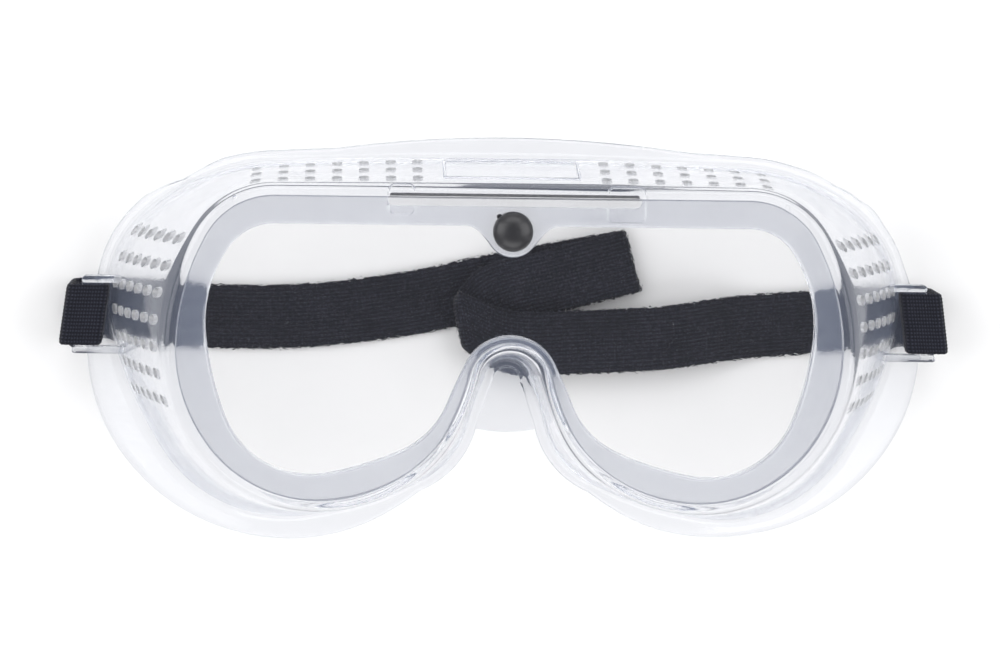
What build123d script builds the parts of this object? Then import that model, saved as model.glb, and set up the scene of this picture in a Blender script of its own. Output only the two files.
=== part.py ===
from build123d import *
import os

os.makedirs("parts", exist_ok=True)

# Direct-vent safety goggles, put down on their back. X runs to the viewer's right, Y to the brow,
# Z out through the lens, and the origin is on the bench under the middle of the object.

# Driving dimensions, in millimetres
FRONT = 39.6  # height of the rim's front face above the bench
RIM_DEPTH = 4.6  # front lip, lens groove and rear lip
LIP = 1.4  # thickness of the front lip
LENS_THICK = 2.0
GROOVE_PLAY = 0.05
WALL = 1.6  # thickness of the skirt and the face flange
BROW_DEPTH = 22.0  # from the rim's front to the flange, at the brow's middle
FORM_DEPTH = 40.0  # the skirt's form runs on past the flange to here
FACE_RADIUS = 272.0  # the wearer's face, a cylinder along Y
SHOULDER = 8.0  # the skirt flares faster down to this depth
SHOULDER_GAIN = 3.75  # by as much flare as this much depth
VENT_R = 1.1
BUTTON_Y = 25.4
BUTTON_R = 4.25
STUD_R = 2.0
STUD_PLAY = 0.05
BOSS_R = 5.6
STRAP_W = 13.4
STRAP_T = 1.3
LUG_Y = 4.3  # middle of the strap slot
BAR_IN = 88.4
BAR_OUT = 94.9
BAR_LOW = 12.4
BAR_HIGH = 15.0

# Half outlines, from the brow's middle round the temple and the cheek to the top of the nose.
# RIM gives each point, and how far it moves outwards for each millimetre behind the rim's front.
RIM = [
    ((0, 34.4), (0, 0.20)),
    ((50, 34.4), (0.06, 0.12)),
    ((66, 25), (0.24, 0.14)),
    ((72.7, 2), (0.36, 0)),
    ((65.3, -22), (0.26, -0.11)),
    ((39.3, -34.3), (0.09, -0.15)),
    ((19.5, -27.2), (-0.04, -0.14)),
    ((10.9, -16.5), (-0.10, -0.07)),
    ((6.9, -5.5), (-0.08, -0.10)),
    ((0, 0.1), (0, -0.15)),
]
LENS = [(0, 32.4), (50, 32.4), (64.6, 23.7), (70.7, 2), (63.8, -20.8), (39.2, -32.4), (20.7, -25.8),
        (12.4, -15.8), (8.6, -4.9), (0, 1.6)]
OPENING = [(0, 26.4), (50, 26.4), (59.5, 21.4), (64.3, 2.4), (60.2, -14.6), (38.7, -26.6),
           (22.9, -21.6), (13.3, -11.5), (9.3, -2.5), (0, 3.1)]
FLANGE = [(0, 44), (51, 38.6), (72, 32.8), (85.3, 21.8), (92, 2), (86, -24.5), (66, -40.7), (44.7, -44),
          (26, -38.4), (13.4, -28), (7.6, -20), (3.6, -9), (0, -6)]

WINDOW_Y = 31.9  # slot in the front lip over the lens's top edge
WINDOW_LENGTH = 53.5
WINDOW_WIDTH = 2.8
TEMPLE_TOP = 26.0  # the skirt's wall pieces meet at these heights
TEMPLE_LOW = -17.0
NOSE_HALF = 30.0
VENT_PITCH = 5.7
VENT_DEPTH = 6.4  # the first row of vents behind the rim's front
BROW_ROWS = 3
BROW_COLUMNS = 7
BROW_VENT_X = 20.0
TEMPLE_ROWS = 7
TEMPLE_COLUMNS = 6
TEMPLE_STEP = 4.3
TEMPLE_VENT_Y = -11.8
NOSE_WEB_HALF = 8.0
NOSE_WEB_TOP = -3.0
NOSE_WEB_LOW = -19.0
NOSE_WEB_THICK = 0.8
PANEL_LENGTH = 28.6
PANEL_WIDTH = 11.4
PANEL_DEPTH = 11.4
PANEL_LINE = 0.7
PANEL_RAISE = 0.4
ARM_ROOT = 80.0
ARM_THICK = 1.4
ARM_OVER = 0.6  # how far the arms stand above and below the bar
ARM_ROUND = 1.2
SLOT_W = 14.0
BUTTON_HIGH = 3.4
BUTTON_EDGE = 1.0
HEAD_GAP = 0.05
NIB_R = 0.6
NIB_ANGLE = 43
RETAINER_R = 3.9
RETAINER_THICK = 1.4
RETAINER_ROUND = 0.5
STUD_PROUD = 0.6
STRAP_PLAY = 0.15
TAIL_END = 4.6
RUN_END = 82.0  # where the loops end and the free strap begins
RUN_GAP = 0.3
RUN_RISE = 2.6  # from one folded layer to the next
STITCH_Z = 7.4
STITCH_PITCH = 1.3
STITCH_ROWS = 4
STITCH_INSET = 1.2
THREAD = 0.5

REACH = 200.0  # larger than the object, for cuts that go right through


def half_and_half(points):
    """A flat closed shape of arcs that run into each other, the same left and right."""
    with BuildSketch() as shape:
        with BuildLine():
            if points[0][1] == points[1][1]:
                edge = Line(points[0], points[1])
            else:
                edge = TangentArc(points[0], points[1], tangent=(1, 0))
            for point in points[2:-1]:
                edge = TangentArc(edge @ 1, point, tangent=edge % 1)
            TangentArc(points[-1], points[-2], tangent=(1, 0))
            mirror(about=Plane.YZ)
        make_face()
    return shape.sketch


def moved_in(points, amount):
    """Half an outline's points, each moved inwards along the outline's normal."""
    moved = []
    for i, (x, y) in enumerate(points):
        if i < 2:
            run = Vector(1, 0)
        elif i == len(points) - 1:
            run = Vector(-1, 0)
        else:
            run = (Vector(*points[i + 1]) - Vector(*points[i - 1])).normalized()
        moved.append((x + amount * run.Y, y - amount * run.X))
    return moved


def skirt_outline(depth, inset):
    """The skirt's outline at a depth behind the rim's front, inset by a wall."""
    grown = depth + SHOULDER_GAIN * min(depth, SHOULDER) / SHOULDER
    points = [(x + dx * grown, y + dy * grown) for (x, y), (dx, dy) in RIM]
    return half_and_half(moved_in(points, inset))


def skirt_form(inset):
    """The skirt's solid form, from the rim's front to under the flange, inset by a wall."""
    with BuildPart() as form:
        for depth in (0, SHOULDER, FORM_DEPTH):
            with BuildSketch(Plane.XY.offset(FRONT - depth)):
                add(skirt_outline(depth, inset))
        loft()
    return form.part


def save(piece, name):
    """Label a finished piece and write its STEP file."""
    piece.part.label = name
    export_step(piece.part, f"parts/{name}.step")


OUTER = skirt_form(0)
INNER = skirt_form(WALL)
FACE_AXIS = Plane.XZ.offset(-REACH / 2)  # cylinders along Y start here
FACE_Z = FRONT - BROW_DEPTH - FACE_RADIUS


def face_cylinder(radius):
    """A cylinder along Y round the axis of the wearer's face."""
    with BuildPart() as cylinder:
        with BuildSketch(FACE_AXIS):
            with Locations((0, FACE_Z)):
                Circle(radius)
        extrude(amount=REACH)
    return cylinder.part


FACE = face_cylinder(FACE_RADIUS)
FLANGE_FRONT = face_cylinder(FACE_RADIUS + WALL)


# The front rim: two lips round the lens groove, a boss for the stud, a window over the lens's edge
with BuildPart() as front_rim:
    add(OUTER)
    split(bisect_by=Plane.XY.offset(FRONT - RIM_DEPTH), keep=Keep.TOP)
    with BuildSketch(Plane.XY.offset(FRONT)):
        add(half_and_half(OPENING))
        with Locations((0, BUTTON_Y)):
            Circle(BOSS_R, mode=Mode.SUBTRACT)
            Circle(STUD_R + STUD_PLAY)
    extrude(amount=-RIM_DEPTH, mode=Mode.SUBTRACT)
    with BuildSketch(Plane.XY.offset(FRONT - LIP)):
        add(half_and_half(LENS))
    extrude(amount=-LENS_THICK - 2 * GROOVE_PLAY, mode=Mode.SUBTRACT)
    with BuildSketch(Plane.XY.offset(FRONT)):
        with Locations((0, WINDOW_Y)):
            RectangleRounded(WINDOW_LENGTH, WINDOW_WIDTH, WINDOW_WIDTH / 2.4)
    extrude(amount=-LIP, mode=Mode.SUBTRACT)
save(front_rim, "front_rim")


# The skirt and its face flange, in one form that the wall pieces are cut from
with BuildPart() as flange_plate:
    with BuildSketch():
        add(half_and_half(FLANGE))
    extrude(amount=FRONT - BROW_DEPTH + 2 * WALL)
    add(FLANGE_FRONT, mode=Mode.INTERSECT)

with BuildPart() as skirt:
    add(OUTER)
    split(bisect_by=Plane.XY.offset(FRONT - RIM_DEPTH), keep=Keep.BOTTOM)
    add(flange_plate)
    add(INNER, mode=Mode.SUBTRACT)
    add(FACE, mode=Mode.SUBTRACT)


def wall_piece(low, high):
    """The part of the skirt between two corners (x, y)."""
    with BuildPart() as piece:
        with BuildSketch():
            with Locations(((low[0] + high[0]) / 2, (low[1] + high[1]) / 2)):
                Rectangle(high[0] - low[0], high[1] - low[1])
        extrude(amount=FRONT)
        add(skirt, mode=Mode.INTERSECT)
    return piece.part


with BuildPart() as brow_wall:
    add(wall_piece((-REACH, TEMPLE_TOP), (REACH, REACH)))
    for row in range(BROW_ROWS):
        with BuildSketch(Plane.XZ.offset(-TEMPLE_TOP)):
            for side in (-1, 1):
                for column in range(BROW_COLUMNS):
                    with Locations((side * (BROW_VENT_X + VENT_PITCH * column),
                                    FRONT - VENT_DEPTH - VENT_PITCH * row)):
                        Circle(VENT_R)
        extrude(amount=-REACH, mode=Mode.SUBTRACT)
save(brow_wall, "brow_wall")

for side, name in ((-1, "left"), (1, "right")):
    ends = sorted((side * REACH, side * NOSE_HALF))
    with BuildPart() as temple_wall:
        add(wall_piece((ends[0], TEMPLE_LOW), (ends[1], TEMPLE_TOP)))
        with BuildSketch(Plane.YZ):
            for row in range(TEMPLE_ROWS):
                for column in range(TEMPLE_COLUMNS):
                    with Locations((TEMPLE_VENT_Y + VENT_PITCH * row,
                                    FRONT - VENT_DEPTH - TEMPLE_STEP * column)):
                        Circle(VENT_R)
        extrude(amount=side * REACH, mode=Mode.SUBTRACT)
    save(temple_wall, f"{name}_temple_wall")

    ends = sorted((side * REACH, 0))
    with BuildPart() as cheek_wall:
        add(wall_piece((ends[0], -REACH), (ends[1], TEMPLE_LOW)))
    save(cheek_wall, f"{name}_cheek_wall")

with BuildPart() as nose_bridge:
    add(wall_piece((-NOSE_HALF, TEMPLE_LOW), (NOSE_HALF, TEMPLE_TOP)))
save(nose_bridge, "nose_bridge")


# The thin web across the nose gap, between the flange's two nose edges
with BuildPart() as nose_web:
    with BuildSketch():
        with BuildLine():
            Line((-NOSE_WEB_HALF, NOSE_WEB_TOP), (NOSE_WEB_HALF, NOSE_WEB_TOP))
            Line((NOSE_WEB_HALF, NOSE_WEB_TOP), (NOSE_WEB_HALF, NOSE_WEB_LOW))
            ThreePointArc((NOSE_WEB_HALF, NOSE_WEB_LOW), (0, NOSE_WEB_LOW - 1), (-NOSE_WEB_HALF, NOSE_WEB_LOW))
            Line((-NOSE_WEB_HALF, NOSE_WEB_LOW), (-NOSE_WEB_HALF, NOSE_WEB_TOP))
        make_face()
        add(half_and_half(FLANGE), mode=Mode.SUBTRACT)
    extrude(amount=FRONT)
    add(face_cylinder(FACE_RADIUS + NOSE_WEB_THICK), mode=Mode.INTERSECT)
    add(FACE, mode=Mode.SUBTRACT)
save(nose_web, "nose_web")

# The raised border of the blank panel on the brow
with BuildPart() as brow_panel:
    with BuildSketch(Plane.XZ.offset(-TEMPLE_TOP)):
        with Locations((0, FRONT - PANEL_DEPTH)):
            Rectangle(PANEL_LENGTH, PANEL_WIDTH)
            Rectangle(PANEL_LENGTH - 2 * PANEL_LINE, PANEL_WIDTH - 2 * PANEL_LINE, mode=Mode.SUBTRACT)
    extrude(amount=-REACH / 2)
    add(skirt_form(-PANEL_RAISE), mode=Mode.INTERSECT)
    add(OUTER, mode=Mode.SUBTRACT)
save(brow_panel, "brow_panel")

# The strap lugs: two arms out from each temple, and the bar between them
for side, name in ((-1, "left"), (1, "right")):
    with BuildPart() as strap_lug:
        with BuildSketch(Plane.XY.offset(BAR_LOW - ARM_OVER)):
            with Locations((side * (ARM_ROOT + BAR_OUT) / 2, LUG_Y)):
                RectangleRounded(BAR_OUT - ARM_ROOT, SLOT_W + 2 * ARM_THICK, ARM_ROUND)
                Rectangle(BAR_OUT - ARM_ROOT, SLOT_W, mode=Mode.SUBTRACT)
        extrude(amount=BAR_HIGH - BAR_LOW + 2 * ARM_OVER)
        with BuildSketch(Plane.XY.offset(BAR_LOW)):
            with Locations((side * (BAR_IN + BAR_OUT) / 2, LUG_Y)):
                Rectangle(BAR_OUT - BAR_IN, SLOT_W)
        extrude(amount=BAR_HIGH - BAR_LOW)
        add(OUTER, mode=Mode.SUBTRACT)
    save(strap_lug, f"{name}_strap_lug")

# The lens, a flat plate with a hole for the stud
with BuildPart() as lens:
    with BuildSketch(Plane.XY.offset(FRONT - LIP - GROOVE_PLAY)):
        add(half_and_half(moved_in(LENS, 2 * GROOVE_PLAY)))
        with Locations((0, BUTTON_Y)):
            Circle(STUD_R + STUD_PLAY, mode=Mode.SUBTRACT)
    extrude(amount=-LENS_THICK)
save(lens, "lens")

# The lens button: a domed head on a plain stud, with a small moulding nib at the head's edge
with BuildPart() as lens_button:
    with BuildSketch(Plane.XZ):
        with BuildLine():
            foot = FRONT - RIM_DEPTH - RETAINER_THICK - STUD_PROUD
            Polyline((0, FRONT + BUTTON_HIGH), (0, foot), (STUD_R, foot), (STUD_R, FRONT + HEAD_GAP),
                     (BUTTON_R, FRONT + HEAD_GAP), (BUTTON_R, FRONT + BUTTON_EDGE))
            ThreePointArc((BUTTON_R, FRONT + BUTTON_EDGE),
                          (0.74 * BUTTON_R, FRONT + BUTTON_EDGE + 0.62 * (BUTTON_HIGH - BUTTON_EDGE)),
                          (0, FRONT + BUTTON_HIGH))
        make_face()
    revolve(axis=Axis.Z)
    with BuildSketch(Plane.XY.offset(FRONT + HEAD_GAP)):
        with Locations(Vector(0, BUTTON_R, 0).rotate(Axis.Z, NIB_ANGLE)):
            Circle(NIB_R)
    extrude(amount=BUTTON_EDGE)
lens_button = lens_button.part.moved(Location((0, BUTTON_Y, 0)))
lens_button.label = "lens_button"
export_step(lens_button, "parts/lens_button.step")

# The washer that holds the stud behind the rim
with BuildPart() as button_retainer:
    with BuildSketch(Plane.XY.offset(FRONT - RIM_DEPTH)):
        with Locations((0, BUTTON_Y)):
            Circle(RETAINER_R)
            Circle(STUD_R + STUD_PLAY, mode=Mode.SUBTRACT)
    extrude(amount=-RETAINER_THICK)
    fillet(button_retainer.edges().filter_by(GeomType.CIRCLE).group_by(Axis.Z)[0].sort_by(SortBy.RADIUS)[-1],
           RETAINER_ROUND)
save(button_retainer, "button_retainer")


# The headband: one flat elastic. Each end goes out under the flange, up round the outside of its
# lug, over the bar, down through the slot, and is sewn to its own inner side.
GAP = STRAP_T / 2 + STRAP_PLAY  # from the bar to the strap's middle
LAYER = STRAP_T + STRAP_PLAY / 3  # between the middles of two layers that lie together


def ribbon(path_points, radii, low_y, high_y):
    """The strap's thickness along a path in the XZ plane, over a width in Y."""
    with BuildPart() as band:
        with BuildSketch(Plane.XZ.offset(-high_y)):
            with BuildLine():
                FilletPolyline(*path_points, radius=radii)
            trace(line_width=STRAP_T)
        extrude(amount=high_y - low_y)
    return band.part


for side, name in ((-1, "left"), (1, "right")):
    out = BAR_OUT + GAP
    loop_path = [(out - LAYER, TAIL_END), (out - LAYER, BAR_LOW - GAP), (BAR_IN - GAP, BAR_LOW - GAP),
                 (BAR_IN - GAP, BAR_HIGH + GAP), (out, BAR_HIGH + GAP), (out, STRAP_T / 2),
                 (RUN_END, STRAP_T / 2)]
    with BuildPart() as headband_loop:
        add(ribbon([(side * x, z) for x, z in loop_path], [1.2, 0.9, 0.9, 1.1, 2.4],
                   LUG_Y - STRAP_W / 2, LUG_Y + STRAP_W / 2))
    save(headband_loop, f"{name}_headband_loop")

    with BuildPart() as loop_stitching:
        with BuildSketch(Plane.YZ.offset(side * (out + STRAP_T / 2))):
            with Locations((LUG_Y, STITCH_Z)):
                with GridLocations(0, STITCH_PITCH, 1, STITCH_ROWS):
                    Rectangle(STRAP_W - 2 * STITCH_INSET, THREAD)
        extrude(amount=side * THREAD / 2)
    save(loop_stitching, f"{name}_loop_stitching")


def strap_plan(stations):
    """The strap's outline from above: each station is its middle (x, y) and how far it leans."""
    tops = []
    lows = []
    for x, y, lean in stations:
        across = Vector(0, STRAP_W / 2).rotate(Axis.Z, lean)
        tops.append(Vector(x, y) + across)
        lows.append(Vector(x, y) - across)
    with BuildSketch() as outline:
        with BuildLine():
            Spline(*tops)
            Spline(*lows)
            Line(tops[0], lows[0])
            Line(tops[-1], lows[-1])
        make_face()
    return outline.sketch


def fold(station, side, low):
    """A half round fold between two runs, over the crease at a station, from the lower run's base."""
    x, y, lean = station
    crease = Vector(0, 1).rotate(Axis.Z, lean)
    plane = Plane(origin=Vector(x, y, low + (STRAP_T + RUN_RISE) / 2) - crease * STRAP_W / 2,
                  x_dir=Vector(side, 0).rotate(Axis.Z, lean), z_dir=crease)
    with BuildPart() as bend:
        with BuildSketch(plane):
            Circle((RUN_RISE + STRAP_T) / 2)
            Circle((RUN_RISE - STRAP_T) / 2, mode=Mode.SUBTRACT)
            Rectangle(STRAP_W, STRAP_W, align=(Align.MAX, Align.CENTER), mode=Mode.SUBTRACT)
        extrude(amount=STRAP_W)
    return bend.part


RIGHT_FOLD = (27.9, 16.2, 15.6)
LEFT_FOLD = (-10.1, 2.6, 14)
UNDER_RUN = [(-RUN_END + RUN_GAP, LUG_Y, 0), (-64.5, 2.8, 0), (-42, 3.3, 3), (-20, 6.3, 10), (1.3, 11, 13),
             RIGHT_FOLD]
MIDDLE_RUN = [RIGHT_FOLD, (12, 12, 17), (-2, 8.2, 22), LEFT_FOLD]
FRONT_RUN = [LEFT_FOLD, (2, -1.9, 0), (18, -1.5, 1), (34.6, -0.5, 3), (50, 1.4, 3), (65.6, 2.7, 1),
             (RUN_END - RUN_GAP, LUG_Y, 0)]

FRONT_RUN_SIDE = [(-30, 2 * RUN_RISE + STRAP_T / 2), (38, 2 * RUN_RISE + STRAP_T / 2), (58, STRAP_T / 2),
                  (RUN_END, STRAP_T / 2)]

with BuildPart() as front_run:
    with BuildSketch():
        add(strap_plan(FRONT_RUN))
    extrude(amount=FRONT)
    add(ribbon(FRONT_RUN_SIDE, 14, -STRAP_W, STRAP_W), mode=Mode.INTERSECT)

with BuildPart() as headband_run:
    add(strap_plan(UNDER_RUN))
    extrude(amount=STRAP_T)
    with BuildSketch(Plane.XY.offset(RUN_RISE)):
        add(strap_plan(MIDDLE_RUN))
    extrude(amount=STRAP_T)
    add(front_run)
    add(fold(RIGHT_FOLD, 1, 0))
    add(fold(LEFT_FOLD, -1, RUN_RISE))
save(headband_run, "headband_run")
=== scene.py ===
import math

import bmesh
import bpy
from mathutils import Matrix, Vector


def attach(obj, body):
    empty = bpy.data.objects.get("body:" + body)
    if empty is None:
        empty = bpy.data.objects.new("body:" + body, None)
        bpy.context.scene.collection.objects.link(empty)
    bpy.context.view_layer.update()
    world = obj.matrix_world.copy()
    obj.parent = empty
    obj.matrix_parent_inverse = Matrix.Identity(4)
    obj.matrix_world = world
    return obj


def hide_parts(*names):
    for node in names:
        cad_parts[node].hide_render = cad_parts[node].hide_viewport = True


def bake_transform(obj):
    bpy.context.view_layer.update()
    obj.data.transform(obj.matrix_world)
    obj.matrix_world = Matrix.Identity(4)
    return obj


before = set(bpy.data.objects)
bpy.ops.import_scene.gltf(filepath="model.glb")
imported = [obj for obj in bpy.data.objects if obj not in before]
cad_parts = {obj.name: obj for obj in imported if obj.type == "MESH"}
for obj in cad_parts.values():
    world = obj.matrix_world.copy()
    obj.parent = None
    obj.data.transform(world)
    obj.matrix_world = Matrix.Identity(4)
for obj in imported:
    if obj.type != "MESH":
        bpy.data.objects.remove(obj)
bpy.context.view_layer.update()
scene = bpy.context.scene

# Direct-vent safety goggles on their back. Shapes are worked out in millimetres in the row frame, X to
# the viewer's right, Y to the brow, Z out through the lens, and go to metres as each mesh is made.
MM = 0.001

FRONT = 39.6  # height of the rim's front face
RIM_DEPTH = 4.6
LIP = 1.4
LENS_THICK = 2.0
GROOVE_PLAY = 0.05
WALL = 1.6
BROW_DEPTH = 22.0
FORM_DEPTH = 40.0
FACE_RADIUS = 272.0
FACE_Z = FRONT - BROW_DEPTH - FACE_RADIUS
SHOULDER = 8.0
SHOULDER_GAIN = 3.75
VENT_R = 1.1
VENT_PITCH = 5.7
VENT_DEPTH = 6.4  # the first row of vents behind the rim's front
BROW_ROWS = 3
BROW_COLUMNS = 7
BROW_VENT_X = 20
TEMPLE_ROWS = 7
TEMPLE_COLUMNS = 6
TEMPLE_STEP = 4.3
TEMPLE_VENT_Y = -11.8
WINDOW_X = 0.4  # middle of the slot in the front lip over the lens's top edge
WINDOW_Y = 31.9
WINDOW_LENGTH = 53.5
WINDOW_WIDTH = 2.8
BUTTON_Y = 25.4
BUTTON_R = 4.25
STUD_R = 2.0
BOSS_R = 5.6
LUG_Y = 4.3
BAR_IN = 88.4
BAR_OUT = 94.9
BAR_LOW = 12.4
BAR_HIGH = 15.0

RIM = [
    ((0, 34.4), (0, 0.20)),
    ((50, 34.4), (0.06, 0.12)),
    ((66, 25), (0.24, 0.14)),
    ((72.7, 2), (0.36, 0)),
    ((65.3, -22), (0.26, -0.11)),
    ((39.3, -34.3), (0.09, -0.15)),
    ((19.5, -27.2), (-0.04, -0.14)),
    ((10.9, -16.5), (-0.10, -0.07)),
    ((6.9, -5.5), (-0.08, -0.10)),
    ((0, 0.1), (0, -0.15)),
]
LENS = [(0, 32.4), (50, 32.4), (64.6, 23.7), (70.7, 2), (63.8, -20.8), (39.2, -32.4), (20.7, -25.8),
        (12.4, -15.8), (8.6, -4.9), (0, 1.6)]
OPENING = [(0, 26.4), (50, 26.4), (59.5, 21.4), (64.3, 2.4), (60.2, -14.6), (38.7, -26.6),
           (22.9, -21.6), (13.3, -11.5), (9.3, -2.5), (0, 3.1)]
FLANGE = [(0, 44), (51, 38.6), (72, 32.8), (85.3, 21.8), (92, 2), (86, -24.5), (66, -40.7), (44.7, -44),
          (26, -38.4), (13.4, -28), (7.6, -20), (3.6, -9), (0, -6)]
# which place along the flange's outline lies outside each of the rim's points
FLANGE_PLACE = [0, 1, 2.4, 3.9, 5.4, 7, 8.6, 10, 11, 12]


# ---- camera
FOCAL = 123.8
SENSOR = 36.0
DISTANCE = 720.0
AIM = Vector((-2.4, 3.8, FRONT))
TILT_TO_BROW = math.radians(6.25)
TILT_TO_LEFT = math.radians(2.5)
ROLL = math.radians(0.9)


def make_camera():
    data = bpy.data.cameras.new("camera")
    data.lens = FOCAL
    data.sensor_width = SENSOR
    data.clip_start = 0.01
    data.clip_end = 20
    camera = bpy.data.objects.new("camera", data)
    scene.collection.objects.link(camera)
    place = AIM + DISTANCE * Vector((-math.tan(TILT_TO_LEFT), math.tan(TILT_TO_BROW), 1))
    back = (place - AIM).normalized()
    up = Vector((-math.sin(ROLL), math.cos(ROLL), 0))
    right = up.cross(back).normalized()
    up = back.cross(right)
    turn = Matrix((right, up, back)).transposed().to_4x4()
    camera.matrix_world = Matrix.Translation(place * MM) @ turn
    scene.camera = camera


# ---- small helpers
SMOOTH_ANGLE = 35.0  # edges sharper than this stay sharp


def make_object(name, points, faces, material, smooth_angle=SMOOTH_ANGLE):
    """A mesh object from points in millimetres."""
    mesh = bpy.data.meshes.new(name)
    mesh.from_pydata([Vector(p) * MM for p in points], [], faces)
    mesh.materials.append(material)
    mesh.polygons.foreach_set("use_smooth", [True] * len(mesh.polygons))
    mesh.validate()
    obj = bpy.data.objects.new(name, mesh)
    scene.collection.objects.link(obj)
    face_outwards(mesh)
    if smooth_angle:
        mesh.set_sharp_from_angle(angle=math.radians(smooth_angle))
    return obj


def face_outwards(mesh):
    bm = bmesh.new()
    bm.from_mesh(mesh)
    bmesh.ops.recalc_face_normals(bm, faces=bm.faces)
    bm.to_mesh(mesh)
    bm.free()


def ring_faces(rings, size, close_rings=True):
    """Quads between rings of points, each ring with size points."""
    faces = []
    for i in range(rings if close_rings else rings - 1):
        a = i * size
        b = (i + 1) % rings * size
        for k in range(size):
            n = (k + 1) % size
            faces.append((a + k, a + n, b + n, b + k))
    return faces


def combine(obj, cutters, operation):
    """One exact boolean of obj with each cutter, and the cutters are gone."""
    group = bpy.data.collections.new("operands")
    scene.collection.children.link(group)
    for cutter in cutters:
        scene.collection.objects.unlink(cutter)
        group.objects.link(cutter)
    change = obj.modifiers.new("combine", "BOOLEAN")
    change.operation = operation
    change.solver = "EXACT"
    change.operand_type = "COLLECTION"
    change.collection = group
    change.material_mode = "TRANSFER"
    graph = bpy.context.evaluated_depsgraph_get()
    mesh = bpy.data.meshes.new_from_object(obj.evaluated_get(graph))
    old = obj.data
    obj.modifiers.clear()
    obj.data = mesh
    mesh.name = old.name
    bpy.data.meshes.remove(old)
    for cutter in cutters:
        bpy.data.objects.remove(cutter)
    bpy.data.collections.remove(group)


def rod(centre, axis, radius, length, sides=20):
    """A closed round cutter from centre along axis."""
    axis = Vector(axis).normalized()
    across = axis.orthogonal().normalized()
    other = axis.cross(across)
    points = []
    for end in (0, 1):
        for k in range(sides):
            a = 2 * math.pi * k / sides
            points.append(Vector(centre) + axis * length * end
                          + radius * (math.cos(a) * across + math.sin(a) * other))
    faces = [(k, (k + 1) % sides, sides + (k + 1) % sides, sides + k) for k in range(sides)]
    faces.append(tuple(range(sides))[::-1])
    faces.append(tuple(range(sides, 2 * sides)))
    return points, faces


def joined(name, parts, material):
    """One object from several closed shapes of (points, faces)."""
    points = []
    faces = []
    for some_points, some_faces in parts:
        start = len(points)
        points += some_points
        faces += [tuple(start + i for i in face) for face in some_faces]
    return make_object(name, points, faces, material)


def rounded_rectangle(length, width, radius, steps=6):
    """Points of a rounded rectangle round the origin, anticlockwise."""
    points = []
    for turn, (sx, sy) in enumerate(((1, 1), (-1, 1), (-1, -1), (1, -1))):
        for k in range(steps + 1):
            a = math.pi / 2 * (turn + k / steps)
            points.append(Vector((sx * (length / 2 - radius) + radius * math.cos(a),
                                  sy * (width / 2 - radius) + radius * math.sin(a))))
    return points


def prism(outline, low, high, edge=0.0, steps=4):
    """A closed upright shape over an outline, its two edges rounded off by edge."""
    middle = sum(outline, Vector((0, 0))) / len(outline)
    size = max((p - middle).length for p in outline)
    levels = [(low, 0.0), (high, 0.0)]
    if edge:
        turns = [math.pi / 2 * k / steps for k in range(steps + 1)]
        levels = [(low + edge * (1 - math.sin(a)), edge * (1 - math.cos(a))) for a in turns[::-1]]
        levels += [(high - edge * (1 - math.sin(a)), edge * (1 - math.cos(a))) for a in turns]
    points = []
    for z, inset in levels:
        points += [Vector((*(p + (middle - p).normalized() * min(inset, size)), z)) for p in outline]
    count = len(outline)
    faces = ring_faces(len(levels), count, close_rings=False)
    faces.append(tuple(range(count))[::-1])
    faces.append(tuple(range(len(points) - count, len(points))))
    return points, faces


# ---- outlines of arcs
def arc(start, run, end):
    """The arc from start along run to end, as a function of 0 to 1, and its last direction."""
    chord = end - start
    turn = math.atan2(run.x * chord.y - run.y * chord.x, run.dot(chord))
    if abs(turn) < 1e-6:
        return (lambda t: start + chord * t), run
    side = Vector((-run.y, run.x))
    radius = chord.length / (2 * math.sin(turn))

    def at(t):
        return start + radius * (math.sin(2 * turn * t) * run + (1 - math.cos(2 * turn * t)) * side)

    return at, math.cos(2 * turn) * run + math.sin(2 * turn) * side


def half_outline(points):
    """An outline's right half as a function of a place, 0 at the brow's middle and 1 more at each point."""
    points = [Vector(p) for p in points]
    run = Vector((1, 0))
    arcs = []
    for start, end in zip(points[:-2], points[1:-1]):
        at, run = arc(start, run, end)
        arcs.append(at)
    last = arc(points[-1], Vector((1, 0)), points[-2])[0]
    arcs.append(lambda t: last(1 - t))

    def at(place):
        i = min(int(place), len(arcs) - 1)
        return arcs[i](place - i)

    return at


def moved_in(points, amount):
    """Half an outline's points, each moved inwards along the outline's normal."""
    points = [Vector(p) for p in points]
    moved = []
    for i, p in enumerate(points):
        if i < 2:
            run = Vector((1, 0))
        elif i == len(points) - 1:
            run = Vector((-1, 0))
        else:
            run = (points[i + 1] - points[i - 1]).normalized()
        moved.append(p + amount * Vector((run.y, -run.x)))
    return moved


def skirt_outline(depth, inset):
    grown = depth + SHOULDER_GAIN * min(depth, SHOULDER) / SHOULDER
    return half_outline(moved_in([(x + dx * grown, y + dy * grown) for (x, y), (dx, dy) in RIM], inset))


SKIRT = {(d, i): skirt_outline(d, i) for d in (0.0, SHOULDER, FORM_DEPTH) for i in (0.0, WALL)}
opening_at = half_outline(OPENING)
groove_at = half_outline(LENS)
flange_at = half_outline(FLANGE)


def skirt_at(place, depth, inset=0.0):
    """A point of the skirt's wall: a parabola in depth, as the moulding's loft is."""
    near = (depth - SHOULDER) * (depth - FORM_DEPTH) / (SHOULDER * FORM_DEPTH)
    middle = depth * (depth - FORM_DEPTH) / (SHOULDER * (SHOULDER - FORM_DEPTH))
    far = depth * (depth - SHOULDER) / (FORM_DEPTH * (FORM_DEPTH - SHOULDER))

    def wall(i):
        return (near * SKIRT[0.0, i](place) + middle * SKIRT[SHOULDER, i](place)
                + far * SKIRT[FORM_DEPTH, i](place))

    outer = wall(0.0)
    return outer + (wall(WALL) - outer) * inset / WALL


def face_height(x, thickness=0.0):
    """Height of the wearer's face, or of a layer on it, at x."""
    return FACE_Z + math.sqrt((FACE_RADIUS + thickness) ** 2 - x * x)


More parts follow.
